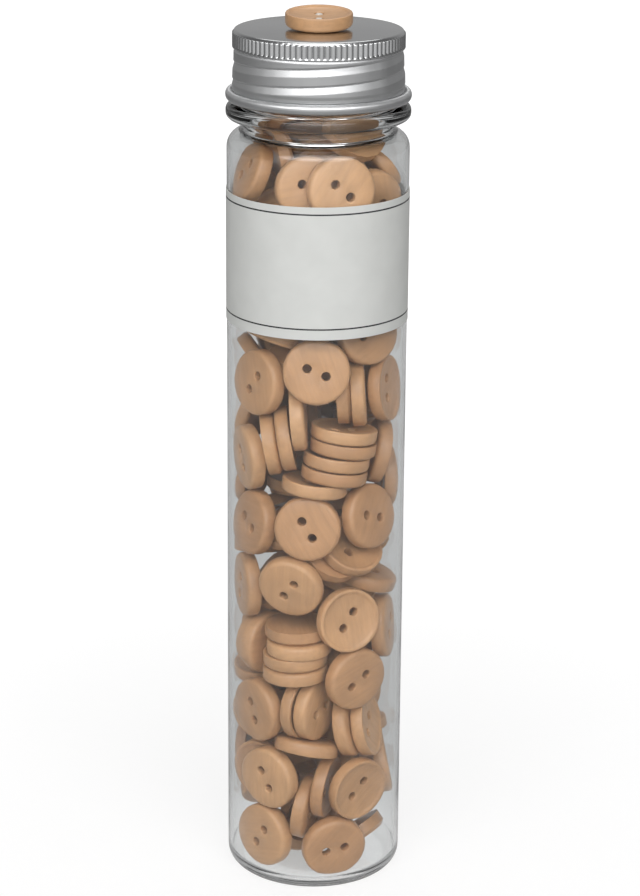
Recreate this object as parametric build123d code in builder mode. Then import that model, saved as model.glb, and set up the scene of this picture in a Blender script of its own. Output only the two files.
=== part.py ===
from build123d import *
import math
import os

import numpy as np

# Clear tube jar of wooden two-hole buttons, closed by a screw cap of rolled sheet metal.
# The tube stands on the XY plane with its axis on Z, and its seen side faces -Y.

# Rounds of turned sections are cut as a few flats, which keeps the mesh light
round_flats = 2

# Tube: one blown piece with a push-up base, a round shoulder, a neck and a support ring
tube_radius = 20.5
tube_wall = 0.8
base_thickness = 2.0
base_corner_radius = 3.5
push_up_height = 1.0
standing_ring_inner_radius = 12.0
shoulder_height = 178.4
shoulder_round_share = 0.95
shoulder_wall = 1.0
neck_radius = 16.5
support_ring_radius = 20.7
support_ring_bottom = 181.1
support_ring_thickness = 3.2
support_ring_edge_radius = 1.3
finish_radius = 17.3
finish_height = 15.0
mouth_radius = 15.2

# Cap: drawn sheet with a fluted band, a bead, a flared skirt and a rolled edge
cap_sheet = 0.35
cap_height = 15.9
cap_edge_radius = 0.6
fluted_band_radius = 19.2
fluted_band_drop = 3.8
bead_radius = 18.5
bead_drop = 6.2
skirt_top_radius = 18.9
skirt_top_drop = 7.4
skirt_bottom_radius = 19.35
curl_reach = 20.75
curl_width = 1.9
curl_height = 3.1
curl_bevel = 0.55
liner_thickness = 1.2
liner_clearance = 0.3

# Paper label wrapped once round the tube, with its end lapped over its start at the back
label_bottom = 135.2
label_height = 30.0
label_paper = 0.12
label_clearance = 0.05
label_lap_angle = 16.0
label_lap_side = 90.0

# Button: turned wood with a hollow face inside a narrow rim, and a rounded back
button_radius = 7.5
button_thickness = 3.2
button_rim_width = 0.9
button_dish_depth = 1.1
button_back_radius = 1.0
button_rim_radius = 0.45
button_hole_diameter = 2.1
button_hole_spacing = 4.5
cap_button_tilt = 4.0
cap_button_lift = 0.5
glue_radius = 4.6
glue_plug_clearance = 0.1
glue_plug_height = 2.2

# Loose buttons: plain copies with flat sides, poured into the tube up to the neck
loose_sides = 8
loose_outline_turn = 9.0
loose_hole_sides = 3
loose_hole_radius = 1.45
loose_clearance = 0.06
loose_wall_clearance = 0.12
core_share = 0.58
edge_on_share = 0.4
fill_top = 187.0
layer_count = 14

# Buttons behind the seen ones: how many start, and how far their angles spread in degrees
hidden_count = 140
hidden_half_angle = 120
hidden_yaw_spread = 35
hidden_across_share = 0.3
hidden_upright_share = 0.5
hidden_upright_spread = 20
hidden_lowest_lift = 30
hidden_at_wall_share = 0.6

# Pour: how the buttons part from a smaller size, settle, and make room
pour_seed = 5
pour_steps = 400
pour_rest = 30
pour_gain = 1.3
pour_sink = 0.003
pour_start_share = 0.7
seen_give_share = 0.2
rim_probe_count = 40
face_probe_count = 8
face_probe_share = 0.5
wall_halvings = 10
least_length = 1e-9

# Heights that follow from the sizes above
rim_height = support_ring_bottom + support_ring_thickness + finish_height
cap_top = rim_height + liner_thickness + cap_sheet
inner_radius = tube_radius - tube_wall
shoulder_radius = (tube_radius - neck_radius) * shoulder_round_share
inner_shoulder_height = shoulder_height - shoulder_wall
inner_shoulder_radius = shoulder_radius - tube_wall
inner_corner_radius = base_corner_radius - tube_wall
support_ring_top = support_ring_bottom + support_ring_thickness

os.makedirs("parts", exist_ok=True)


def section(corners):
    """Points of a closed section whose corners are rounded by a few flats to the radius of each."""
    points = []
    for index, (point, radius) in enumerate(corners):
        here = Vector(*point)
        if radius == 0:
            points.append(here)
            continue
        back = (Vector(*corners[index - 1][0]) - here).normalized()
        ahead = (Vector(*corners[(index + 1) % len(corners)][0]) - here).normalized()
        half_angle = math.radians(back.get_angle(ahead)) / 2
        centre = here + (back + ahead).normalized() * (radius / math.sin(half_angle))
        first = here + back * (radius / math.tan(half_angle)) - centre
        last = here + ahead * (radius / math.tan(half_angle)) - centre
        for flat in range(round_flats + 1):
            mix = first * (round_flats - flat) + last * flat
            points.append(centre + mix.normalized() * radius)
    return points


# Tube: the closed half section is turned round the axis
tube_corners = [
    ((0, push_up_height), 0),
    ((standing_ring_inner_radius, 0), 0),
    ((tube_radius, 0), base_corner_radius),
    ((tube_radius, shoulder_height), shoulder_radius),
    ((neck_radius, shoulder_height), 0),
    ((neck_radius, support_ring_bottom), 0),
    ((support_ring_radius, support_ring_bottom), support_ring_edge_radius),
    ((support_ring_radius, support_ring_top), support_ring_edge_radius),
    ((finish_radius, support_ring_top), 0),
    ((finish_radius, rim_height), 0),
]
bore_corners = [
    ((mouth_radius, rim_height), 0),
    ((mouth_radius, inner_shoulder_height), 0),
    ((inner_radius, inner_shoulder_height), inner_shoulder_radius),
    ((inner_radius, base_thickness), inner_corner_radius),
    ((0, base_thickness), 0),
]
with BuildPart() as tube:
    with BuildSketch(Plane.XZ):
        with BuildLine():
            Polyline(*section(tube_corners + bore_corners), close=True)
        make_face()
    revolve(axis=Axis.Z)
tube.part.label = "tube"
export_step(tube.part, "parts/tube.step")

# Cap: outer line of the sheet down to the curl, and the same line one sheet further in
cap_bottom = cap_top - cap_height
cap_outside = [
    ((0, cap_top), 0),
    ((fluted_band_radius, cap_top), cap_edge_radius),
    ((fluted_band_radius, cap_top - fluted_band_drop), 0),
    ((bead_radius, cap_top - bead_drop), 0),
    ((skirt_top_radius, cap_top - skirt_top_drop), 0),
    ((skirt_bottom_radius, cap_bottom + curl_height / 2), 0),
]
cap_inside = [((radius - cap_sheet, height), 0) for (radius, height), _ in reversed(cap_outside[2:])]
cap_inside += [
    ((fluted_band_radius - cap_sheet, cap_top - cap_sheet), cap_edge_radius - cap_sheet),
    ((0, cap_top - cap_sheet), 0),
]
with BuildPart() as screw_cap:
    with BuildSketch(Plane.XZ):
        with BuildLine():
            Polyline(*section(cap_outside + cap_inside), close=True)
        make_face()
    revolve(axis=Axis.Z)
    # Curl: the edge of the sheet is rolled outwards, as a ring with bevelled corners
    with BuildSketch(Plane.XZ) as curl:
        with Locations((curl_reach - curl_width / 2, cap_bottom + curl_height / 2)):
            Rectangle(curl_width, curl_height)
        chamfer(curl.vertices().sort_by(Axis.X)[2:], curl_bevel)
    revolve(axis=Axis.Z)
screw_cap.part.label = "screw_cap"
export_step(screw_cap.part, "parts/screw_cap.step")

# Liner: a soft disc that the cap presses on the rim
with BuildPart() as cap_liner:
    with BuildSketch(Plane.XY.offset(rim_height)):
        Circle(fluted_band_radius - cap_edge_radius - liner_clearance)
    extrude(amount=liner_thickness)
cap_liner.part.label = "cap_liner"
export_step(cap_liner.part, "parts/cap_liner.step")

# Label: one turn of paper, then the lapped end one paper further out
label_inner_radius = tube_radius + label_clearance
with BuildPart() as label:
    with BuildSketch(Plane.XY.offset(label_bottom)):
        Circle(label_inner_radius + label_paper)
        Circle(label_inner_radius, mode=Mode.SUBTRACT)
    extrude(amount=label_height)
    with BuildSketch(Plane.XZ):
        with Locations((label_inner_radius + label_paper, label_bottom)):
            Rectangle(label_paper, label_height, align=(Align.MIN, Align.MIN))
    revolve(axis=Axis.Z, revolution_arc=label_lap_angle)
label_part = label.part.rotate(Axis.Z, label_lap_side)
label_part.label = "label"
export_step(label_part, "parts/label.step")

# Button in its true form, back down, with its hollow face up
button_corners = [
    ((0, 0), 0),
    ((button_radius, 0), button_back_radius),
    ((button_radius, button_thickness), button_rim_radius),
    ((button_radius - button_rim_width, button_thickness), 0),
    ((0, button_thickness - button_dish_depth), 0),
]
with BuildPart() as button:
    with BuildSketch(Plane.XZ):
        with BuildLine():
            Polyline(*section(button_corners), close=True)
        make_face()
    revolve(axis=Axis.Z)
    with GridLocations(button_hole_spacing, 0, 2, 1):
        Hole(button_hole_diameter / 2)

# Cap button: glued to the middle of the cap, leaning a little to the seen side along its hole line
lean = Plane(origin=(0, 0, cap_top + cap_button_lift)).rotated((cap_button_tilt, 0, 0))
cap_button_seat = Plane(origin=lean.origin, x_dir=lean.y_dir, z_dir=lean.z_dir)
cap_button_part = button.part.moved(cap_button_seat.location)
cap_button_part.label = "cap_button"
export_step(cap_button_part, "parts/cap_button.step")

# Glue: a wedge between the cap and the button, which rises into both holes
with BuildPart() as cap_glue:
    with BuildSketch(cap_button_seat):
        Circle(glue_radius)
    extrude(amount=-glue_radius)
    split(bisect_by=Plane.XY.offset(cap_top), keep=Keep.TOP)
    with BuildSketch(cap_button_seat):
        with GridLocations(button_hole_spacing, 0, 2, 1):
            Circle(button_hole_diameter / 2 - glue_plug_clearance)
    extrude(amount=glue_plug_height)
cap_glue.part.label = "cap_glue"
export_step(cap_glue.part, "parts/cap_glue.step")

# Loose button: flat sides and two plain holes. The outline is turned a little against the hole
# line, which tells the dished side from the back. A button in the core of the pile, under the label
# or with its edge to the wall, where no side shows its faces, has no holes.
with BuildPart() as core_button:
    with BuildSketch():
        RegularPolygon(radius=button_radius, side_count=loose_sides, rotation=loose_outline_turn)
    extrude(amount=button_thickness / 2, both=True)
with BuildPart() as loose_button:
    add(core_button.part)
    with BuildSketch():
        with GridLocations(button_hole_spacing, 0, 2, 1):
            RegularPolygon(radius=loose_hole_radius, side_count=loose_hole_sides)
    extrude(amount=button_thickness, both=True, mode=Mode.SUBTRACT)

# Buttons that show at the seen side. Each row holds the place round the tube in degrees from
# the front, the height as a share of the shoulder height, where the seen face looks (degrees
# to the right and up), the turn of its two holes, and 1 for the dished face or -1 for the back.
seen_button_shares = [
    (-11, 0.960, -3, 5, 0, -1),
    (12, 0.713, 5, 12, -39, -1),
    (-42, 0.709, -30, 8, 62, -1),
    (-1, 0.522, 0, -5, -58, -1),
    (-18, 0.448, -5, 12, 54, -1),
    (33, 0.401, 20, 8, 61, 1),
    (28, 0.316, 12, 8, 39, -1),
    (-45, 0.182, -28, 5, -21, 1),
    (36, 0.158, 22, 8, 41, 1),
    (21, 0.074, 8, 5, 16, -1),
    (-39, 0.091, -25, 5, 48, -1),
    (51, 0.531, 42, 5, -32, -1),
    (-49, 0.516, -38, 0, -14, -1),
    (-54, 0.600, -50, 0, -73, -1),
    (-59, 0.266, -50, 0, -74, -1),
    (-64, 0.427, -60, 0, -80, -1),
    (25, 0.654, 150, 75, 0, 1),
    (25, 0.634, 150, 75, 40, 1),
    (23, 0.612, 150, 75, 80, -1),
    (13, 0.594, 150, 76, 20, 1),
    (-6, 0.574, 150, 77, 10, -1),
    (-10, 0.368, -150, 74, 0, 1),
    (-14, 0.346, -150, 74, 30, -1),
    (-17, 0.325, -150, 75, 60, 1),
    (-13, 0.305, -150, 76, 15, 1),
    (-18, 0.639, 90, 30, 0, 1),
    (-39, 0.637, 90, 31, 30, -1),
    (-3, 0.651, 90, 20, 60, 1),
    (34, 0.684, 90, 0, 45, 1),
    (47, 0.685, 92, 0, 10, -1),
    (64, 0.697, 75, 0, 80, 1),
    (58, 0.605, 85, 0, 30, 1),
    (22, 0.473, -20, 65, 10, -1),
    (43, 0.481, 20, 60, 50, 1),
    (57, 0.438, 90, 80, 20, 1),
    (64, 0.377, 90, 0, 60, -1),
    (-62, 0.346, 90, 0, 15, 1),
    (-45, 0.350, 90, -18, 45, -1),
    (-16, 0.265, 80, 5, 0, 1),
    (1, 0.267, 20, 5, 20, -1),
    (3, 0.223, 170, 75, 35, 1),
    (31, 0.244, 85, 0, 0, -1),
    (52, 0.238, 65, 0, 60, 1),
    (-15, 0.167, -25, 0, 70, -1),
    (13, 0.159, 70, 0, 25, 1),
    (73, 0.163, 80, 0, 0, -1),
    (-8, 0.098, 80, 25, 10, 1),
    (63, 0.072, 60, 0, 30, -1),
    (-19, 0.028, 0, 86, 40, 1),
    (32, 0.027, 0, 85, 70, -1),
    (-24, 0.049, -20, 60, 0, 1),
    (-72, 0.055, -80, 0, 20, -1),
    (50, 0.759, 30, 15, 20, -1),
    (51, 0.930, 35, 10, -30, -1),
    (38, 0.976, -150, 74, 0, 1),
    (-45, 0.926, -20, 60, 15, 1),
    (-62, 0.956, -75, 10, 40, -1),
    (21, 0.940, 15, 5, -20, -1),
]

# Hidden buttons start at even steps of height: behind the seen ones, or all round under the label
draw = np.random.default_rng(pour_seed)
label_top = label_bottom + label_height
hidden_steps = (np.arange(hidden_count) + draw.random(hidden_count)) / hidden_count
hidden_heights = base_thickness + (fill_top - base_thickness) * hidden_steps
under_label = (hidden_heights > label_bottom) & (hidden_heights < label_top)
hidden_azimuths = 180 + draw.uniform(-1, 1, hidden_count) * np.where(under_label, 180, hidden_half_angle)
hidden_across = draw.random(hidden_count) < hidden_across_share
hidden_yaws = hidden_azimuths + draw.normal(0, hidden_yaw_spread, hidden_count) + 90 * hidden_across
hidden_lifts = np.where(
    draw.random(hidden_count) < hidden_upright_share,
    draw.normal(0, hidden_upright_spread, hidden_count),
    draw.uniform(hidden_lowest_lift, 90, hidden_count),
)
hidden_rows = np.column_stack([
    hidden_azimuths,
    hidden_heights / shoulder_height,
    hidden_yaws,
    hidden_lifts,
    draw.uniform(0, 180, hidden_count),
    draw.choice([-1, 1], hidden_count),
])
depth_shares = np.concatenate([
    np.ones(len(seen_button_shares)),
    np.where(draw.random(hidden_count) < hidden_at_wall_share, 1, draw.random(hidden_count)),
])

# Points on the edges and faces of a button, which are tested against its neighbours and the wall
def face_rings(share, count):
    """Points on both faces of a button, on circles that are a share of its radius."""
    turns = np.linspace(0, 2 * math.pi, count, endpoint=False)
    circle = np.column_stack([np.cos(turns), np.sin(turns), np.zeros(count)]) * button_radius * share
    face_offset = np.array([0, 0, button_thickness / 2])
    return np.concatenate([circle + face_offset, circle - face_offset])


probe_points = np.concatenate([
    face_rings(1, rim_probe_count),
    face_rings(face_probe_share, face_probe_count),
])
bore_radii, bore_heights = zip(*[(point.X, point.Y) for point in reversed(section(bore_corners))])
touch_radius = button_radius + loose_clearance
touch_offset = button_thickness / 2 + loose_clearance
turn_ease = button_radius**2 / 4 + button_thickness**2 / 12


def frames_facing(yaw, lift, spin, side):
    """Axes of buttons whose seen face looks yaw to the right of the front and lift upwards."""
    yaw, lift, spin = np.radians(yaw), np.radians(lift), np.radians(spin)
    normal = np.stack([np.sin(yaw) * np.cos(lift), -np.cos(yaw) * np.cos(lift), np.sin(lift)], axis=-1)
    across = np.stack([np.cos(yaw), np.sin(yaw), np.zeros_like(yaw)], axis=-1)
    upward = np.cross(normal, across)
    hole_line = np.cos(spin)[:, None] * across + np.sin(spin)[:, None] * upward
    axis = normal * side[:, None]
    return np.stack([hole_line, np.cross(axis, hole_line), axis], axis=-1)


def turned(frames, turns):
    """Axes turned by small rotation vectors."""
    angles = np.linalg.norm(turns, axis=1)[:, None, None]
    x, y, z = (turns / np.maximum(np.linalg.norm(turns, axis=1), least_length)[:, None]).T
    zero = np.zeros_like(x)
    skew = np.stack([zero, -z, y, z, zero, -x, -y, x, zero], axis=-1).reshape(-1, 3, 3)
    return (np.eye(3) + np.sin(angles) * skew + (1 - np.cos(angles)) * (skew @ skew)) @ frames


def bore_at(height):
    """Inside radius of the tube at each height."""
    return np.interp(height, bore_heights, bore_radii)


def surface_points(centres, frames, size):
    """The probe points of each button, at a share of its full size."""
    return centres[:, None, :] + size * (probe_points @ frames.transpose(0, 2, 1))


def at_wall(azimuths, heights, frames):
    """Centres as far out along each azimuth as the tube's wall lets that button lie."""
    outward = np.stack([np.sin(azimuths), -np.cos(azimuths), np.zeros_like(azimuths)], axis=-1)
    upright = heights[:, None] * np.array([0, 0, 1])
    near, far = np.zeros(len(azimuths)), np.full(len(azimuths), inner_radius)
    for _ in range(wall_halvings):
        middle = (near + far) / 2
        points = surface_points(outward * middle[:, None] + upright, frames, 1)
        reach = np.hypot(points[..., 0], points[..., 1]) + loose_wall_clearance
        fits = (reach < bore_at(points[..., 2])).all(axis=1)
        near = np.where(fits, middle, near)
        far = np.where(fits, far, middle)
    return outward * near[:, None] + upright


def wall_moves(centres, frames, size):
    """Moves and turns that bring each button back inside the tube's wall, floor and fill."""
    points = surface_points(centres, frames, size)
    reach = np.hypot(points[..., 0], points[..., 1])
    outside = np.maximum(reach + loose_wall_clearance - bore_at(points[..., 2]), 0)
    outside /= np.maximum(reach, least_length)
    lift = np.maximum(base_thickness + loose_wall_clearance - points[..., 2], 0)
    lift -= np.maximum(points[..., 2] - fill_top, 0)
    push = np.stack([-points[..., 0] * outside, -points[..., 1] * outside, lift], axis=-1)
    depth = np.linalg.norm(push, axis=2)
    share = depth / np.maximum(depth.sum(axis=1), least_length)[:, None]
    arms = np.cross(points - centres[:, None, :], push)
    ease = 1 + (arms**2).sum(axis=2) / np.maximum(depth, least_length) ** 2 / turn_ease
    weight = (share / ease)[..., None]
    return (push * weight).sum(axis=1), (arms * weight).sum(axis=1) / turn_ease, depth.max(axis=1)


def pair_moves(centres, frames, gives, size):
    """Moves and turns that part the buttons that meet, and how deep each one still meets another."""
    distance = np.linalg.norm(centres[:, None, :] - centres[None, :, :], axis=2)
    np.fill_diagonal(distance, np.inf)
    mine, theirs = np.nonzero(distance < 2 * size * math.hypot(touch_radius, touch_offset))
    points = surface_points(centres[mine], frames[mine], size)
    local = (points - centres[theirs][:, None, :]) @ frames[theirs]
    middle = np.einsum("kji,kj->ki", frames[theirs], centres[mine] - centres[theirs])[:, None, :]
    own_side = np.where(middle[..., 2] < 0, -1.0, 1.0)
    height = local[..., 2] * own_side
    # A point that has gone through the other button is measured where its spoke crosses it
    way = abs(middle[..., 2]) / np.maximum(abs(middle[..., 2]) - height, least_length)
    crossing = middle + way[..., None] * (local - middle)
    met = np.where((height < -size * touch_offset)[..., None], crossing, local)
    reach = np.hypot(met[..., 0], met[..., 1])
    side_depth = size * touch_radius - reach
    face_depth = size * touch_offset - height
    depth = np.maximum(np.minimum(side_depth, face_depth), 0)
    hits = np.nonzero(depth.max(axis=1) > 0)[0]
    mine, theirs, depth, points = mine[hits], theirs[hits], depth[hits], points[hits]
    outward = met[hits] * np.array([1, 1, 0]) / np.maximum(reach[hits], least_length)[..., None]
    axial = own_side[hits][..., None] * np.array([0, 0, 1])
    by_face = (face_depth < side_depth)[hits]
    normal = np.where(by_face[..., None], axial, outward) @ frames[theirs].transpose(0, 2, 1)
    my_arms = np.cross(points - centres[mine][:, None, :], normal)
    their_arms = np.cross(points - centres[theirs][:, None, :], normal)
    ease = gives[mine][:, None] * (1 + (my_arms**2).sum(axis=2) / turn_ease)
    ease = ease + gives[theirs][:, None] * (1 + (their_arms**2).sum(axis=2) / turn_ease)
    share = depth / depth.sum(axis=1)[:, None]
    weight = (np.minimum(depth, button_thickness / 2) * share / ease)[..., None]
    moves, turns, meets = np.zeros_like(centres), np.zeros_like(centres), np.zeros(len(centres))
    for who, arms, sign in ((mine, my_arms, 1), (theirs, their_arms, -1)):
        part_of = sign * gives[who][:, None]
        np.add.at(moves, who, part_of * (normal * weight).sum(axis=1))
        np.add.at(turns, who, part_of * (arms * weight).sum(axis=1) / turn_ease)
        np.add.at(meets, who, 1)
    deepest = np.zeros(len(centres))
    np.maximum.at(deepest, mine, depth.max(axis=1))
    np.maximum.at(deepest, theirs, depth.max(axis=1))
    damping = 1 / np.sqrt(np.maximum(meets, 1))[:, None]
    return moves * damping, turns * damping, deepest


# The buttons grow to full size while they part, then sink; the one worst off for room is left out
rows = np.concatenate([np.array(seen_button_shares), hidden_rows])
frames = frames_facing(*rows[:, 2:].T)
centres = at_wall(np.radians(rows[:, 0]), rows[:, 1] * shoulder_height, frames)
centres[:, :2] *= depth_shares[:, None]
gives = np.where(np.arange(len(rows)) < len(seen_button_shares), seen_give_share, 1)
step = 0
while True:
    size = min(1, pour_start_share + (1 - pour_start_share) * 2 * step / pour_steps)
    moves, turns, pair_depths = pair_moves(centres, frames, gives, size)
    wall_shifts, wall_turns, wall_depths = wall_moves(centres, frames, size)
    depths = np.maximum(pair_depths, wall_depths)
    if step > pour_steps and depths.max() < loose_clearance / 2:
        break
    kept = np.full(len(centres), True)
    if step > pour_steps and step % pour_rest == 0:
        kept[(depths * gives).argmax()] = False
    centres = (centres + pour_gain * moves + wall_shifts - np.array([0, 0, pour_sink]))[kept]
    frames = turned(frames, pour_gain * turns + wall_turns)[kept]
    gives = gives[kept]
    step += 1
order = np.argsort(centres[:, 2])
placed = [(centres[index], frames[index]) for index in order]

# Layers: the buttons from the bottom to the top, shared out evenly
for layer in range(layer_count):
    first = layer * len(placed) // layer_count
    last = (layer + 1) * len(placed) // layer_count
    layer_buttons = []
    for centre, frame in placed[first:last]:
        from_axis = math.hypot(centre[0], centre[1])
        in_core = from_axis < inner_radius * core_share
        edge_on = abs(frame[:2, 2] @ centre[:2]) < from_axis * edge_on_share
        behind_label = label_bottom + button_radius < centre[2] < label_top - button_radius
        form = core_button if in_core or edge_on or behind_label else loose_button
        place = Plane(origin=tuple(centre), x_dir=tuple(frame[:, 0]), z_dir=tuple(frame[:, 2]))
        layer_buttons.append(form.part.moved(place.location))
    name = f"buttons_layer_{layer + 1:02d}"
    buttons = Compound(children=layer_buttons)
    buttons.label = name
    export_step(buttons, f"parts/{name}.step")
print("loose buttons:", len(placed))
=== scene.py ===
import math
import random

import bmesh
import bpy
import numpy as np
from mathutils import Matrix, Vector


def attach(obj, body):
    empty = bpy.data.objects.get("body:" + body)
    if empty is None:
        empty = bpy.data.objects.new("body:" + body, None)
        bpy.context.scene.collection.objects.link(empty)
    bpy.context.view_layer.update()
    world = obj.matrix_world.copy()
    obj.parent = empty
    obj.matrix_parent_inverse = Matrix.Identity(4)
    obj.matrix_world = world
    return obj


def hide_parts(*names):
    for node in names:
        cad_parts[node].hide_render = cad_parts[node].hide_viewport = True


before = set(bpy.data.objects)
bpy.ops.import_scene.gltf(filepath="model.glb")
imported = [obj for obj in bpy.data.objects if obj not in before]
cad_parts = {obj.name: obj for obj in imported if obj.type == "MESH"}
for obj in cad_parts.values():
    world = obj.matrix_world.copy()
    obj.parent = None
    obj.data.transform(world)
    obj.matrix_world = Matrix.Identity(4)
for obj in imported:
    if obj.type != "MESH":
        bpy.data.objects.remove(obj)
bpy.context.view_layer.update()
mm = 0.001

# Tube: a clear jar blown in one piece, with a push-up base, a round shoulder, a neck and a support ring.
# It is turned here from its half section, ring by ring from the middle of the base over the rim
# and down to the floor inside, and its corners are then rounded.
tube_radius = 20.5
bore_radius = 19.7
floor_height = 2.0
push_up_height = 1.0
standing_radius = 12.0
pole_radius = 0.8
shoulder_height = 178.4
shoulder_inside = 177.4
neck_radius = 16.5
mouth_radius = 15.2
ring_radius = 20.7
ring_bottom = 181.1
ring_top = 184.3
finish_radius = 17.3
rim_height = 199.3
ridge_ring_from = 186.5
ridge_ring_step = 0.25
ridge_ring_count = 45
tube_around = 128
tube_rings = [
    (pole_radius, push_up_height), (standing_radius, 0.0), (tube_radius, 0.0),
    (tube_radius, shoulder_height), (neck_radius, shoulder_height), (neck_radius, ring_bottom),
    (ring_radius, ring_bottom), (ring_radius, ring_top), (finish_radius, ring_top),
]
tube_rings += [
    (finish_radius, ridge_ring_from + ridge_ring_step * step) for step in range(ridge_ring_count)
]
tube_rings += [
    (finish_radius, rim_height), (mouth_radius, rim_height), (mouth_radius, shoulder_inside),
    (bore_radius, shoulder_inside), (bore_radius, floor_height), (pole_radius, floor_height),
]


def turned(name, rings, around):
    """A piece turned round Z: a disc whose edge is extruded and scaled from ring to ring, then closed."""
    bpy.ops.object.select_all(action="DESELECT")
    radius, height = rings[0]
    bpy.ops.mesh.primitive_circle_add(
        vertices=around, radius=radius * mm, fill_type="NGON", location=(0, 0, height * mm)
    )
    piece = bpy.context.object
    piece.name = name
    piece.data.name = name
    bpy.ops.object.transform_apply(location=True)
    bpy.ops.object.mode_set(mode="EDIT")
    bpy.ops.mesh.select_mode(type="EDGE")
    bpy.ops.mesh.select_all(action="SELECT")
    for (radius, height), (next_radius, next_height) in zip(rings, rings[1:]):
        rise = (next_height - height) * mm
        swell = next_radius / radius
        bpy.ops.mesh.extrude_edges_move(TRANSFORM_OT_translate={"value": (0, 0, rise)})
        bpy.ops.transform.resize(value=(swell, swell, 1), center_override=(0, 0, next_height * mm))
    bpy.ops.mesh.edge_face_add()
    bpy.ops.mesh.select_all(action="SELECT")
    bpy.ops.mesh.normals_make_consistent(inside=False)
    bpy.ops.object.mode_set(mode="OBJECT")
    return piece


tube = turned("clear_tube", tube_rings, tube_around)

# Radius and height of a corner, width of its round, and steps
tube_rounds = [
    (tube_radius, 0.0, 3.5, 8), (tube_radius, shoulder_height, 3.8, 8),
    (neck_radius, shoulder_height, 1.3, 5), (neck_radius, ring_bottom, 1.1, 4),
    (ring_radius, ring_bottom, 1.3, 5), (ring_radius, ring_top, 1.3, 5),
    (finish_radius, ring_top, 0.6, 3), (finish_radius, rim_height, 0.5, 3),
    (mouth_radius, rim_height, 0.5, 3), (mouth_radius, shoulder_inside, 1.3, 5),
    (bore_radius, shoulder_inside, 3.0, 8), (bore_radius, floor_height, 2.7, 8),
]
ring_match = 0.01


def pick(piece):
    """Makes one piece the only selected one."""
    bpy.ops.object.select_all(action="DESELECT")
    piece.select_set(True)
    bpy.context.view_layer.objects.active = piece


def bevel_where(piece, chosen, width, steps):
    """Bevels the edges of a piece whose two ends are both chosen by their place in millimetres."""
    pick(piece)
    bpy.ops.object.mode_set(mode="EDIT")
    bpy.ops.mesh.select_mode(type="EDGE")
    bpy.ops.mesh.select_all(action="DESELECT")
    mesh = bmesh.from_edit_mesh(piece.data)
    for edge in mesh.edges:
        edge.select_set(all(chosen(vertex.co / mm) for vertex in edge.verts))
    bmesh.update_edit_mesh(piece.data)
    bpy.ops.mesh.bevel(offset=width * mm, segments=steps, affect="EDGES")
    bpy.ops.object.mode_set(mode="OBJECT")


def round_rings(piece, rounds):
    """Rounds the corners of a turned piece at the given rings."""
    for radius, height, width, steps in rounds:
        bevel_where(
            piece,
            lambda co: math.isclose(math.hypot(co.x, co.y), radius, abs_tol=ring_match)
            and math.isclose(co.z, height, abs_tol=ring_match),
            width,
            steps,
        )


round_rings(tube, tube_rounds)

# The thread of the neck is one ridge that climbs round it and fades at both ends
ridge_start = 188.2
ridge_pitch = 6.0
ridge_turns = 1.25
ridge_fade = 0.06
ridge_reach = 0.6
ridge_top_half = 0.3
ridge_foot_half = 0.85
crisp_angle = 40


def smooth_step(low, high, value):
    """0 below low, 1 above high, and an even slope between them."""
    share = np.clip((value - low) / (high - low), 0, 1)
    return share * share * (3 - 2 * share)


def read_points(piece):
    """The vertices of a piece in millimetres, one row each."""
    points = np.zeros(len(piece.data.vertices) * 3)
    piece.data.vertices.foreach_get("co", points)
    return points.reshape(-1, 3) / mm


def push_out(piece, points, push):
    """Moves the vertices of a piece away from its axis."""
    reach = np.hypot(points[:, 0], points[:, 1])
    points[:, :2] *= ((reach + push) / reach)[:, None]
    piece.data.vertices.foreach_set("co", (points * mm).ravel())
    piece.data.update()


def shade(piece, degrees):
    """Smooth faces, with edges sharper than an angle left crisp."""
    pick(piece)
    bpy.ops.object.shade_smooth_by_angle(angle=math.radians(degrees))


points = read_points(tube)
around_turns = np.arctan2(points[:, 1], points[:, 0]) / math.tau % 1
on_finish = np.isclose(np.hypot(points[:, 0], points[:, 1]), finish_radius, atol=ring_match)
push = np.zeros(len(points))
for whole_turns in range(math.ceil(ridge_turns)):
    along = around_turns + whole_turns
    off_ridge = np.abs(points[:, 2] - ridge_start - ridge_pitch * along)
    profile = 1 - smooth_step(ridge_top_half, ridge_foot_half, off_ridge)
    fade = smooth_step(0, ridge_fade, along)
    fade = fade * (1 - smooth_step(ridge_turns - ridge_fade, ridge_turns, along))
    push = np.maximum(push, ridge_reach * profile * fade * on_finish)
push_out(tube, points, push)
shade(tube, crisp_angle)


def new_finish(name):
    """A material with its node tree and its principled shader."""
    finish = bpy.data.materials.new(name)
    finish.use_nodes = True
    tree = finish.node_tree
    return finish, tree, tree.nodes["Principled BSDF"]


def add_node(tree, kind, **settings):
    """A node of a kind, with its settings, and its inputs where the name is a socket's."""
    node = tree.nodes.new(kind)
    for name, value in settings.items():
        if name in node.inputs:
            node.inputs[name].default_value = value
        else:
            setattr(node, name, value)
    return node


def worked(tree, operation, *values):
    """What a math node gives for values, each of them a number or a socket."""
    node = add_node(tree, "ShaderNodeMath", operation=operation)
    for socket, value in zip(node.inputs, values):
        if isinstance(value, (int, float)):
            socket.default_value = value
        else:
            tree.links.new(value, socket)
    return node.outputs["Value"]


def graded(tree, value, over, levels, way="LINEAR"):
    """A level that goes from one to the other of two while a socket's value goes over a range."""
    node = add_node(tree, "ShaderNodeMapRange", interpolation_type=way)
    node.inputs["From Min"].default_value, node.inputs["From Max"].default_value = over
    node.inputs["To Min"].default_value, node.inputs["To Max"].default_value = levels
    tree.links.new(value, node.inputs["Value"])
    return node.outputs["Result"]


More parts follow.
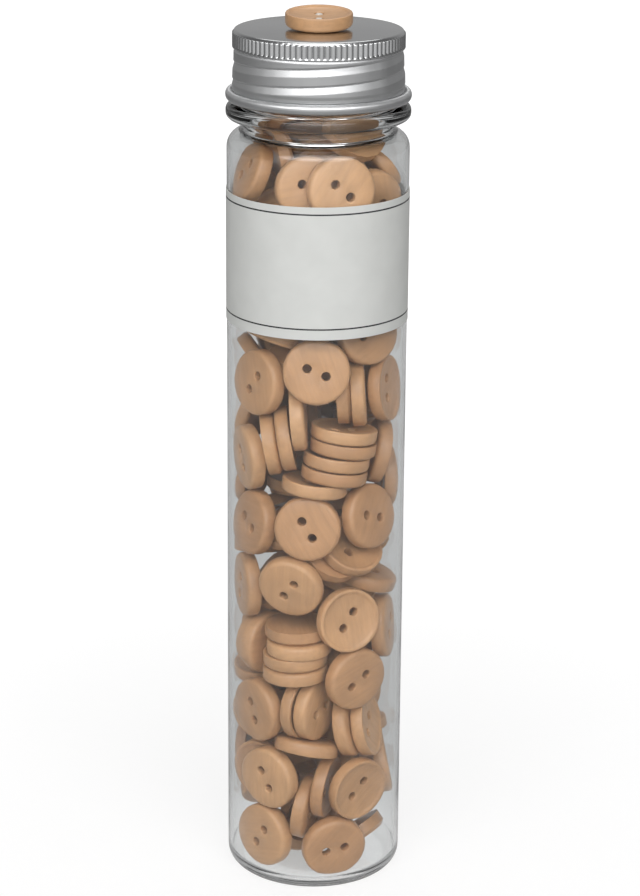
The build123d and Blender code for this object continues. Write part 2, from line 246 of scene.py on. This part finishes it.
shaded_from = 175
shaded_to = 180
clear_plastic, tree, shader = new_finish("clear_plastic")
shader.inputs["Base Color"].default_value = (0.97, 0.98, 0.98, 1)
shader.inputs["Roughness"].default_value = 0.03
shader.inputs["IOR"].default_value = 1.5
shader.inputs["Transmission Weight"].default_value = 1.0
place = add_node(tree, "ShaderNodeTexCoord")
ripple = add_node(tree, "ShaderNodeTexNoise", Scale=90.0, Detail=1.0)
swell = add_node(tree, "ShaderNodeBump", Strength=0.06, Distance=0.0006)
tree.links.new(place.outputs["Object"], ripple.inputs["Vector"])
tree.links.new(ripple.outputs["Fac"], swell.inputs["Height"])
tree.links.new(swell.outputs["Normal"], shader.inputs["Normal"])
# Lamps shine through the wall, and less through the thick neck
light_path = add_node(tree, "ShaderNodeLightPath")
level = add_node(tree, "ShaderNodeSeparateXYZ")
tree.links.new(place.outputs["Object"], level.inputs["Vector"])
passed = graded(tree, level.outputs["Z"], over=(shaded_from * mm, shaded_to * mm), levels=(0.95, 0.4))
see_through = add_node(tree, "ShaderNodeBsdfTransparent")
tree.links.new(passed, see_through.inputs["Color"])
let_light_in = add_node(tree, "ShaderNodeMixShader")
tree.links.new(light_path.outputs["Is Shadow Ray"], let_light_in.inputs["Fac"])
tree.links.new(shader.outputs["BSDF"], let_light_in.inputs[1])
tree.links.new(see_through.outputs["BSDF"], let_light_in.inputs[2])
tree.links.new(let_light_in.outputs["Shader"], tree.nodes["Material Output"].inputs["Surface"])
tube.data.materials.append(clear_plastic)
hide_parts("tube")
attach(tube, "tube")

# Loose buttons: turned from light wood and varnished, with a dished face inside a raised rim, a bevelled
# back and two drilled holes. They are poured in and lie as they fall, where the frame's plain ones lie.
# In the core of the pile, where only an edge shows here and there, they stay plain discs.
button_radius = 7.5
button_half = 1.6
back_corner = (6.8, -1.56)
side_bottom = -1.0
rim_inside = 6.75
dish_edge = (6.3, 1.18)
button_rings = [
    (4.4, -button_half), back_corner, (button_radius, side_bottom), (button_radius, button_half),
    (rim_inside, button_half), dish_edge, (4.4, 0.88), (0.6, 0.55),
]
button_rounds = [
    (*back_corner, 0.25, 1), (button_radius, side_bottom, 0.25, 1), (button_radius, button_half, 0.3, 2),
    (rim_inside, button_half, 0.16, 1), (*dish_edge, 0.15, 1),
]
button_around = 26
core_rings = [(6.7, -button_half), (button_radius, -0.8), (button_radius, button_half)]
core_around = 16
core_reach = 11.4
hole_radius = 1.05
hole_offset = 2.25
hole_around = 12
hole_edge = 0.16
hole_edge_steps = 2
hole_match = 0.05
hole_zone = 4.5
drill_length = 8
plain_sides = 8
merge_reach = 0.001
layer_count = 14
grain_spread = 500
draw = random.Random(5)

button = turned("button", button_rings, button_around)
round_rings(button, button_rounds)
bpy.ops.object.select_all(action="DESELECT")
for side in (-1, 1):
    bpy.ops.mesh.primitive_cylinder_add(
        vertices=hole_around,
        radius=hole_radius * mm,
        depth=drill_length * mm,
        location=(side * hole_offset * mm, 0, 0),
    )
    drill = bpy.context.object
    pick(button)
    bore = button.modifiers.new("bore", "BOOLEAN")
    bore.operation = "DIFFERENCE"
    bore.solver = "EXACT"
    bore.object = drill
    bpy.ops.object.modifier_apply(modifier="bore")
    bpy.data.objects.remove(drill)
bevel_where(
    button,
    lambda co: math.isclose(math.hypot(abs(co.x) - hole_offset, co.y), hole_radius, abs_tol=hole_match)
    and (co.z > 0 or co.z < ring_match - button_half),
    hole_edge,
    hole_edge_steps,
)
core_button = turned("core_button", core_rings, core_around)
for shape in (button, core_button):
    shade(shape, crisp_angle)
    shape.data.attributes.new("grain_place", "FLOAT_VECTOR", "POINT")
    shape.data.attributes.new("button_tone", "FLOAT", "POINT")


def button_copy(shape, centre, axes):
    """A copy of a button at a place, with grain and tone of its own."""
    copy = shape.copy()
    copy.data = shape.data.copy()
    bpy.context.collection.objects.link(copy)
    points = read_points(copy)
    cut = Matrix.Rotation(draw.uniform(0, math.tau), 3, "Z")
    offset = np.array([draw.uniform(0, grain_spread) for _ in range(3)])
    grain = points @ np.array(cut) + offset
    copy.data.attributes["grain_place"].data.foreach_set("vector", grain.ravel())
    copy.data.attributes["button_tone"].data.foreach_set("value", [draw.random()] * len(points))
    copy.data.transform(Matrix.Translation(Vector(centre)) @ Matrix(axes.T).transposed().to_4x4())
    return copy


def button_places(node):
    """Shape, centre and axes of each plain button in a layer: hole line, across it, and out of its dish.

    The outline of a plain button is turned a little against its hole line, which tells its two faces apart.
    """
    plain = node.copy()
    plain.data = node.data.copy()
    plain.parent = None
    bpy.context.collection.objects.link(plain)
    pick(plain)
    bpy.ops.object.mode_set(mode="EDIT")
    bpy.ops.mesh.select_all(action="SELECT")
    bpy.ops.mesh.remove_doubles(threshold=merge_reach * mm)
    bpy.ops.mesh.separate(type="LOOSE")
    bpy.ops.object.mode_set(mode="OBJECT")
    places = []
    for piece in list(bpy.context.selected_objects):
        points = np.array([vertex.co for vertex in piece.data.vertices])
        centre = points.mean(axis=0)
        local = points - centre
        axis = np.linalg.svd(local)[2][2]
        flat = local - np.outer(local @ axis, axis)
        reach = np.linalg.norm(flat, axis=1)
        holes = flat[reach < hole_zone * mm]
        corners = flat[reach > hole_zone * mm]
        line = np.linalg.svd(holes)[2][0] if len(holes) else corners[0]
        line = line / np.linalg.norm(line)
        turns = np.arctan2(corners @ np.cross(axis, line), corners @ line)
        if np.sin(plain_sides * turns).sum() < 0:
            axis = -axis
        in_core = not len(holes) and np.hypot(centre[0], centre[1]) < core_reach * mm
        shape = core_button if in_core else button
        places.append((shape, centre, np.column_stack([line, np.cross(axis, line), axis])))
        bpy.data.objects.remove(piece)
    return sorted(places, key=lambda place: tuple(place[1]))


turned_wood, tree, shader = new_finish("turned_wood")
place = add_node(tree, "ShaderNodeAttribute", attribute_name="grain_place")
tone = add_node(tree, "ShaderNodeAttribute", attribute_name="button_tone")
along = add_node(tree, "ShaderNodeMapping", Scale=(0.10, 1.1, 1.1))
streaks = add_node(tree, "ShaderNodeTexNoise", Scale=1.0, Detail=3.0, Roughness=0.6)
pores_along = add_node(tree, "ShaderNodeMapping", Scale=(0.7, 6.0, 6.0))
pores = add_node(tree, "ShaderNodeTexNoise", Scale=1.0, Detail=1.0)
cloud = add_node(tree, "ShaderNodeTexNoise", Scale=0.16, Detail=1.0)
for mapped, noise in ((along, streaks), (pores_along, pores)):
    tree.links.new(place.outputs["Vector"], mapped.inputs["Vector"])
    tree.links.new(mapped.outputs["Vector"], noise.inputs["Vector"])
tree.links.new(place.outputs["Vector"], cloud.inputs["Vector"])
shades = add_node(tree, "ShaderNodeValToRGB")
shades.color_ramp.elements[0].color = (0.435, 0.230, 0.108, 1)
shades.color_ramp.elements[1].color = (0.572, 0.328, 0.162, 1)
tree.links.new(tone.outputs["Fac"], shades.inputs["Fac"])
streak_depth = graded(tree, streaks.outputs["Fac"], over=(0.35, 0.70), levels=(1.04, 0.91))
pore_depth = graded(tree, pores.outputs["Fac"], over=(0.58, 0.72), levels=(1.0, 0.92))
cloud_depth = graded(tree, cloud.outputs["Fac"], over=(0.3, 0.7), levels=(0.93, 1.06))
grain = worked(tree, "MULTIPLY", streak_depth, pore_depth)
figure = worked(tree, "MULTIPLY", grain, cloud_depth)
tint = add_node(tree, "ShaderNodeVectorMath", operation="SCALE")
tree.links.new(shades.outputs["Color"], tint.inputs[0])
tree.links.new(figure, tint.inputs["Scale"])
tree.links.new(tint.outputs["Vector"], shader.inputs["Base Color"])
varnish = graded(tree, streaks.outputs["Fac"], over=(0, 1), levels=(0.34, 0.48))
tree.links.new(varnish, shader.inputs["Roughness"])
raised = add_node(tree, "ShaderNodeBump", Strength=0.25, Distance=0.00004)
tree.links.new(grain, raised.inputs["Height"])
tree.links.new(raised.outputs["Normal"], shader.inputs["Normal"])
shader.inputs["Coat Weight"].default_value = 0.2
shader.inputs["Coat Roughness"].default_value = 0.22
for shape in (button, core_button):
    shape.data.materials.append(turned_wood)

for layer in range(1, layer_count + 1):
    node_name = f"buttons_layer_{layer:02d}"
    copies = [button_copy(*place) for place in button_places(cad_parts[node_name])]
    pick(copies[0])
    for copy in copies:
        copy.select_set(True)
    bpy.ops.object.join()
    pile = bpy.context.object
    pile.name = f"loose_buttons_{layer:02d}"
    pile.data.name = pile.name
    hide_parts(node_name)
    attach(pile, "tube")

# Liner: a soft foam disc that is pressed into the cap and seals on the rim of the tube.
# It is cut from sheet, so its edge is square with a worn corner.
liner_radius = 18.2
liner_top = 200.5
liner_pole = 2.0
liner_around = 96
liner_corner = 0.25
liner_corner_steps = 2
liner_rings = [
    (liner_pole, rim_height), (liner_radius, rim_height),
    (liner_radius, liner_top), (liner_pole, liner_top),
]
liner = turned("cap_liner_disc", liner_rings, liner_around)
round_rings(liner, [(liner_radius, rim_height, liner_corner, liner_corner_steps)])
shade(liner, crisp_angle)
foam, tree, shader = new_finish("liner_foam")
place = add_node(tree, "ShaderNodeTexCoord")
cells = add_node(tree, "ShaderNodeTexVoronoi", Scale=1800.0)
cell_tone = add_node(tree, "ShaderNodeValToRGB")
cell_tone.color_ramp.elements[0].color = (0.62, 0.62, 0.60, 1)
cell_tone.color_ramp.elements[1].color = (0.74, 0.74, 0.72, 1)
tree.links.new(place.outputs["Object"], cells.inputs["Vector"])
tree.links.new(cells.outputs["Distance"], cell_tone.inputs["Fac"])
tree.links.new(cell_tone.outputs["Color"], shader.inputs["Base Color"])
pits = add_node(tree, "ShaderNodeBump", Strength=0.3, Distance=0.00008)
tree.links.new(cells.outputs["Distance"], pits.inputs["Height"])
tree.links.new(pits.outputs["Normal"], shader.inputs["Normal"])
shader.inputs["Roughness"].default_value = 0.85
liner.data.materials.append(foam)
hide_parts("cap_liner")
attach(liner, "liner")

# Screw cap: drawn from aluminium sheet, with a fluted grip round its top, a right-hand thread rolled into
# its skirt and its edge rolled outwards. It screws on the neck of the tube.
cap_top = 200.85
cap_sheet = 0.35
cap_around = 552
crown_radius = 18.9
crown_round = 0.6
crown_steps = 5
crown_pole = 2.0
cap_crisp_angle = 50
rib_count = 92
rib_depth = 0.30
rib_top = 200.3
rib_bottom = 197.0
rib_ends = 0.4
rib_flank = (0.1, 0.55)
rib_heights = (200.2, 200.1, 200.0, 199.3, 198.6, 198.0, 197.6, 197.4, 197.25, 197.1, 196.95, 196.8)
thread_pitch = 6.0
thread_wave = 3.85
thread_crest = 193.45
thread_depth = 0.16
thread_top = 196.7
thread_bottom = 188.3
thread_places = (0, 0.42, 0.5, 1)
thread_shape = (1, -1, 0.6, 1)
thread_run_in = 0.8
thread_run_out = 0.6
thread_fade_angles = (140, 175)
cap_crown = [(crown_pole, cap_top), (crown_radius, cap_top)]
cap_band = [(crown_radius, height) for height in rib_heights]
skirt_base = [
    (18.71, 196.65), (18.73, 195.7), (18.78, 194.6), (18.95, 192.2), (19.12, 189.8), (19.2, 188.6),
    (19.2, 187.9), (19.14, 187.4),
]
skirt_top = skirt_base[0][1]
skirt_bottom = skirt_base[-1][1]
skirt_rings = 84
inside_every = 4
curl_middle = (19.86, 186.38)
curl_half = (0.9, 1.2)
curl_steps = 18
curl_from = 145
curl_sweep = 325
base_radii, base_heights = zip(*reversed(skirt_base))
cap_skirt = [
    (float(np.interp(height, base_heights, base_radii)), float(height))
    for height in np.linspace(skirt_top, skirt_bottom, skirt_rings)
]
cap_curl = []
for step in range(curl_steps + 1):
    angle = math.radians(curl_from - curl_sweep * step / curl_steps)
    cap_curl.append((
        curl_middle[0] + curl_half[0] * math.cos(angle),
        curl_middle[1] + curl_half[1] * math.sin(angle),
    ))
cap_inner = [(radius - cap_sheet, height) for radius, height in reversed(cap_skirt[::inside_every])]
cap_close = [
    (crown_radius - cap_sheet, cap_top - cap_sheet - crown_round),
    (crown_radius - cap_sheet - crown_round, cap_top - cap_sheet),
    (crown_pole, cap_top - cap_sheet),
]
cap_rings = cap_crown + cap_band + cap_skirt + cap_curl + cap_inner + cap_close
cap = turned("rolled_cap", cap_rings, cap_around)
round_rings(cap, [(crown_radius, cap_top, crown_round, crown_steps)])
points = read_points(cap)
reach = np.hypot(points[:, 0], points[:, 1])
turn = np.arctan2(points[:, 0], -points[:, 1])
height = points[:, 2]
rib_wave = 1 - 2 * np.abs((turn / math.tau * rib_count) % 1 - 0.5)
on_rib = smooth_step(*rib_flank, rib_wave)
on_rib = np.maximum(on_rib, 1 - smooth_step(rib_bottom + rib_ends / 4, rib_bottom + rib_ends, height))
on_rib = on_rib * smooth_step(rib_bottom - rib_ends, rib_bottom, height)
on_rib = on_rib * (1 - smooth_step(rib_top - rib_ends / 2, rib_top, height))
push = rib_depth * on_rib * (reach > crown_radius - cap_sheet / 2)
crest = thread_crest + thread_pitch * turn / math.tau
in_thread = smooth_step(thread_bottom, thread_bottom + thread_run_in, height)
in_thread = in_thread * (1 - smooth_step(thread_top - thread_run_out, thread_top, height))
in_thread = in_thread * (1 - smooth_step(*np.radians(thread_fade_angles), np.abs(turn)))
in_thread = in_thread * (reach < curl_middle[0] - cap_sheet / 2)
thread_relief = np.interp((height - crest) / thread_wave % 1, thread_places, thread_shape)
push = push + thread_depth * in_thread * thread_relief
push_out(cap, points, push)
shade(cap, cap_crisp_angle)

rolled_metal, tree, shader = new_finish("rolled_metal")
place = add_node(tree, "ShaderNodeTexCoord")
drawn = add_node(tree, "ShaderNodeMapping", Scale=(1.0, 1.0, 0.12))
lines = add_node(tree, "ShaderNodeTexNoise", Scale=420.0, Detail=3.0, Roughness=0.65)
smear = add_node(tree, "ShaderNodeTexNoise", Scale=70.0, Detail=2.0)
tree.links.new(place.outputs["Object"], drawn.inputs["Vector"])
tree.links.new(drawn.outputs["Vector"], lines.inputs["Vector"])
tree.links.new(place.outputs["Object"], smear.inputs["Vector"])
metal_tone = add_node(tree, "ShaderNodeValToRGB")
metal_tone.color_ramp.elements[0].position = 0.25
metal_tone.color_ramp.elements[0].color = (0.54, 0.545, 0.55, 1)
metal_tone.color_ramp.elements[1].position = 0.75
metal_tone.color_ramp.elements[1].color = (0.60, 0.605, 0.61, 1)
tree.links.new(smear.outputs["Fac"], metal_tone.inputs["Fac"])
tree.links.new(metal_tone.outputs["Color"], shader.inputs["Base Color"])
# The disc is smooth, the ribs less so, and the skirt is drawn, with a sheen that spreads round it
level = add_node(tree, "ShaderNodeSeparateXYZ")
tree.links.new(place.outputs["Object"], level.inputs["Vector"])
disc_edge = (cap_top - 0.02) * mm
rib_edge = (cap_top - 0.3) * mm
sheen_spread = 0.8
drawn_gloss = graded(tree, lines.outputs["Fac"], over=(0, 1), levels=(0.33, 0.47))
rolled_gloss = graded(tree, level.outputs["Z"], over=(disc_edge, rib_edge), levels=(0.13, 0.22))
below_ribs = graded(tree, level.outputs["Z"], over=(rib_bottom * mm, skirt_top * mm), levels=(0, 1))
gloss = add_node(tree, "ShaderNodeMix", data_type="FLOAT")
tree.links.new(below_ribs, gloss.inputs["Factor"])
tree.links.new(rolled_gloss, gloss.inputs["A"])
tree.links.new(drawn_gloss, gloss.inputs["B"])
tree.links.new(gloss.outputs["Result"], shader.inputs["Roughness"])
tree.links.new(worked(tree, "MULTIPLY", below_ribs, sheen_spread), shader.inputs["Anisotropic"])
round_axis = add_node(tree, "ShaderNodeTangent", direction_type="RADIAL", axis="Z")
tree.links.new(round_axis.outputs["Tangent"], shader.inputs["Tangent"])
scratches = add_node(tree, "ShaderNodeBump", Strength=0.12, Distance=0.00003)
tree.links.new(lines.outputs["Fac"], scratches.inputs["Height"])
tree.links.new(scratches.outputs["Normal"], shader.inputs["Normal"])
shader.inputs["Metallic"].default_value = 1.0
cap.data.materials.append(rolled_metal)
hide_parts("screw_cap")
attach(cap, "cap")

# Cap button: one button of the same kind, glued to the middle of the cap with its dished face up.
# It leans a little to the front on a wedge of glue, which rises into both of its holes.
lean = math.radians(4.0)
button_tilt = Matrix.Rotation(lean, 3, "X")
button_lift = 0.5
seat_height = cap_top + button_lift
cap_button_centre = Vector((0, 0, seat_height)) + button_tilt @ Vector((0, 0, button_half))
hole_line = Matrix.Rotation(math.radians(90), 3, "Z")
cap_button = button_copy(button, cap_button_centre * mm, np.array(button_tilt @ hole_line))
cap_button.name = "cap_button_turned"
cap_button.data.name = cap_button.name
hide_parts("cap_button")
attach(cap_button, "cap")
for shape in (button, core_button):
    bpy.data.objects.remove(shape)

glue_radius = 4.6
glue_pole = 1.0
glue_around = 40
plug_around = 20
plug_rings = [(0.93, 0.0), (0.93, 1.95), (0.75, 2.25), (0.4, 2.38)]
glue_rings = [
    (glue_pole, cap_top), (glue_radius, cap_top),
    (glue_radius, seat_height), (glue_pole, seat_height),
]
glue = turned("glue_pad", glue_rings, glue_around)
for vertex in glue.data.vertices:
    if vertex.co.z > (cap_top + button_lift / 2) * mm:
        vertex.co.z += vertex.co.y * math.tan(lean)
plugs = []
for side in (-1, 1):
    plug = turned("glue_plug", plug_rings, plug_around)
    plug.data.transform(Matrix.Translation((0, side * hole_offset * mm, 0)))
    plug.data.transform(Matrix.Translation((0, 0, seat_height * mm)) @ button_tilt.to_4x4())
    plugs.append(plug)
pick(glue)
for plug in plugs:
    plug.select_set(True)
bpy.ops.object.join()
shade(glue, crisp_angle)
set_glue, tree, shader = new_finish("set_glue")
place = add_node(tree, "ShaderNodeTexCoord")
wrinkle = add_node(tree, "ShaderNodeTexNoise", Scale=900.0, Detail=2.0)
glue_tone = add_node(tree, "ShaderNodeValToRGB")
glue_tone.color_ramp.elements[0].color = (0.50, 0.44, 0.37, 1)
glue_tone.color_ramp.elements[1].color = (0.72, 0.68, 0.62, 1)
swell = add_node(tree, "ShaderNodeBump", Strength=0.4, Distance=0.0002)
tree.links.new(place.outputs["Object"], wrinkle.inputs["Vector"])
tree.links.new(wrinkle.outputs["Fac"], glue_tone.inputs["Fac"])
tree.links.new(glue_tone.outputs["Color"], shader.inputs["Base Color"])
tree.links.new(wrinkle.outputs["Fac"], swell.inputs["Height"])
tree.links.new(swell.outputs["Normal"], shader.inputs["Normal"])
shader.inputs["Roughness"].default_value = 0.12
glue.data.materials.append(set_glue)
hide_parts("cap_glue")
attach(glue, "cap")

# Label: a strip of paper wrapped once round the tube, its end lapped over its start at the back and glued.
# It is printed with a thin line along each edge; the rest of it is left plain.
label_radius = 20.55
label_paper = 0.12
label_bottom = 135.2
label_top = 165.2
label_around = 128
label_rows = 6
label_seam = 90
label_lap = 16
lap_rise = 12
print_lines = (137.6, 163.5)
print_half = 0.17
bpy.ops.object.select_all(action="DESELECT")
bpy.ops.mesh.primitive_grid_add(x_subdivisions=label_around, y_subdivisions=label_rows, size=1)
label = bpy.context.object
label.name = "paper_label"
label.data.name = label.name
for vertex in label.data.vertices:
    turned_by = (360 + label_lap) * (vertex.co.x + 0.5)
    angle = math.radians(label_seam + turned_by)
    lift = label_paper * float(smooth_step(360 - lap_rise, 360, turned_by))
    radius = (label_radius + lift) * mm
    rise = label_bottom + (label_top - label_bottom) * (vertex.co.y + 0.5)
    vertex.co = (radius * math.cos(angle), radius * math.sin(angle), rise * mm)
pick(label)
paper_thickness = label.modifiers.new("paper", "SOLIDIFY")
paper_thickness.thickness = label_paper * mm
paper_thickness.offset = 1
bpy.ops.object.modifier_apply(modifier="paper")
shade(label, crisp_angle)

paper, tree, shader = new_finish("paper")
place = add_node(tree, "ShaderNodeTexCoord")
fibres = add_node(tree, "ShaderNodeTexNoise", Scale=2600.0, Detail=3.0, Roughness=0.7)
mottle = add_node(tree, "ShaderNodeTexNoise", Scale=160.0, Detail=2.0)
paper_tone = add_node(tree, "ShaderNodeValToRGB")
paper_tone.color_ramp.elements[0].position = 0.3
paper_tone.color_ramp.elements[0].color = (0.75, 0.76, 0.735, 1)
paper_tone.color_ramp.elements[1].position = 0.7
paper_tone.color_ramp.elements[1].color = (0.79, 0.80, 0.775, 1)
tree.links.new(place.outputs["Object"], fibres.inputs["Vector"])
tree.links.new(place.outputs["Object"], mottle.inputs["Vector"])
tree.links.new(mottle.outputs["Fac"], paper_tone.inputs["Fac"])
level = add_node(tree, "ShaderNodeSeparateXYZ")
tree.links.new(place.outputs["Object"], level.inputs["Vector"])
inked = worked(
    tree,
    "MAXIMUM",
    *[worked(tree, "COMPARE", level.outputs["Z"], height * mm, print_half * mm) for height in print_lines],
)
printed = add_node(tree, "ShaderNodeMixRGB", Color2=(0.02, 0.02, 0.022, 1))
tree.links.new(inked, printed.inputs["Fac"])
tree.links.new(paper_tone.outputs["Color"], printed.inputs["Color1"])
tree.links.new(printed.outputs["Color"], shader.inputs["Base Color"])
tooth = add_node(tree, "ShaderNodeBump", Strength=0.15, Distance=0.00005)
tree.links.new(fibres.outputs["Fac"], tooth.inputs["Height"])
tree.links.new(tooth.outputs["Normal"], shader.inputs["Normal"])
shader.inputs["Roughness"].default_value = 0.6
label.data.materials.append(paper)
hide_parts("label")
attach(label, "tube")

# Stage: a plain pale floor that runs out of view and turns white away from the jar, a wide soft box above
# the camera, and weak ones overhead and behind. Metal and glass mirror the same ground and room, dimmed,
# with its sides in shade. Lengths here are in metres, but for the camera's place.
floor_size = 8
floor_middle = (0, 2.5, 0)
bpy.ops.object.select_all(action="DESELECT")
bpy.ops.mesh.primitive_plane_add(size=floor_size, location=floor_middle)
bpy.ops.object.transform_apply(location=True)
floor = bpy.context.object
floor.name = "floor"
floor_white, tree, shader = new_finish("floor_white")
shader.inputs["Base Color"].default_value = (0.28, 0.28, 0.28, 1)
shader.inputs["Roughness"].default_value = 0.9
shader.inputs["Emission Color"].default_value = (1, 1, 1, 1)
place = add_node(tree, "ShaderNodeTexCoord")
apart = add_node(tree, "ShaderNodeVectorMath", operation="LENGTH")
tree.links.new(place.outputs["Object"], apart.inputs[0])
spot = add_node(tree, "ShaderNodeSeparateXYZ")
tree.links.new(place.outputs["Object"], spot.inputs["Vector"])
ray = add_node(tree, "ShaderNodeLightPath")
eased = "SMOOTHSTEP"
front_edge = -0.2
whiteness = graded(tree, apart.outputs["Value"], over=(0.03, 0.5), levels=(0.72, 1.0), way=eased)
aside = worked(tree, "ABSOLUTE", spot.outputs["X"])
near_level = graded(tree, aside, over=(0.08, 0.35), levels=(0.22, 0.03), way=eased)
front_level = graded(tree, spot.outputs["Y"], over=(-0.4, -1.4), levels=(0.06, 0.8))
in_front = worked(tree, "LESS_THAN", spot.outputs["Y"], front_edge)
metal_level = worked(tree, "MAXIMUM", near_level, worked(tree, "MULTIPLY", front_level, in_front))
in_metal = worked(tree, "MULTIPLY", ray.outputs["Is Glossy Ray"], metal_level)
# Painted light: seen through glass, the floor right under the jar glows twice as bright as around it, which
# lifts the jar's own shadow seen through its base
glass_backdrop_and_painted_light = graded(tree, apart.outputs["Value"], over=(0.02, 0.06), levels=(0.7, 0.35), way=eased)
in_glass = worked(tree, "MULTIPLY", ray.outputs["Is Transmission Ray"], glass_backdrop_and_painted_light)
shown = worked(tree, "MAXIMUM", ray.outputs["Is Camera Ray"], worked(tree, "MAXIMUM", in_metal, in_glass))
tree.links.new(worked(tree, "MULTIPLY", shown, whiteness), shader.inputs["Emission Strength"])
floor.data.materials.append(floor_white)

world = bpy.data.worlds.new("studio")
bpy.context.scene.world = world
world.use_nodes = True
tree = world.node_tree
sky = tree.nodes["Background"]
sky.inputs["Color"].default_value = (1, 1, 1, 1)
ray = add_node(tree, "ShaderNodeLightPath")
place = add_node(tree, "ShaderNodeTexCoord")
way = add_node(tree, "ShaderNodeSeparateXYZ")
tree.links.new(place.outputs["Generated"], way.inputs["Vector"])
side_level = 0.16
front_level = graded(tree, way.outputs["Y"], over=(-0.9, -0.3), levels=(0.90, side_level), way=eased)
back_level = graded(tree, way.outputs["Y"], over=(0.3, 0.9), levels=(side_level, 0.38), way=eased)
top_level = graded(tree, way.outputs["Z"], over=(0.6, 0.95), levels=(side_level, 0.40), way=eased)
mirrored = worked(tree, "MAXIMUM", worked(tree, "MAXIMUM", front_level, back_level), top_level)
plain = graded(tree, ray.outputs["Is Camera Ray"], over=(0, 1), levels=(0.30, 1.0))
in_mirror = worked(tree, "MAXIMUM", ray.outputs["Is Glossy Ray"], ray.outputs["Is Transmission Ray"])
strength = add_node(tree, "ShaderNodeMix", data_type="FLOAT")
tree.links.new(in_mirror, strength.inputs["Factor"])
tree.links.new(plain, strength.inputs["A"])
tree.links.new(mirrored, strength.inputs["B"])
tree.links.new(strength.outputs["Result"], sky.inputs["Strength"])


def soft_box(name, place, aim, size, power):
    """An oval lamp at a place, aimed at a point."""
    data = bpy.data.lights.new(name, "AREA")
    data.shape = "ELLIPSE"
    data.size, data.size_y = size
    data.energy = power
    lamp = bpy.data.objects.new(name, data)
    lamp.location = place
    lamp.rotation_euler = (Vector(aim) - Vector(place)).to_track_quat("-Z", "Y").to_euler()
    bpy.context.collection.objects.link(lamp)


soft_box("key_box", place=(-0.02, -0.85, 0.75), aim=(0, 0, 0.12), size=(2.1, 0.6), power=10.5)
soft_box("top_box", place=(0, -0.2, 1.0), aim=(0, 0, 0.1), size=(0.6, 0.4), power=1.0)
soft_box("back_box", place=(0, 0.6, 1.1), aim=(0, 0, 0.1), size=(1.2, 0.5), power=2.6)

view_place = (0.93, -608.9, 302.4)
view_fall = 18.09
view_roll = 0.44
view_data = bpy.data.cameras.new("view")
view_data.sensor_fit = "VERTICAL"
view_data.sensor_height = 36
view_data.lens = 111.2
view_data.clip_start = 0.01
view = bpy.data.objects.new("view", view_data)
view.location = Vector(view_place) * mm
tilt = Matrix.Rotation(math.radians(90 - view_fall), 3, "X")
roll = Matrix.Rotation(math.radians(view_roll), 3, "Z")
view.rotation_euler = (tilt @ roll).to_euler()
bpy.context.collection.objects.link(view)
bpy.context.scene.camera = view
bpy.context.scene.view_settings.view_transform = "Standard"
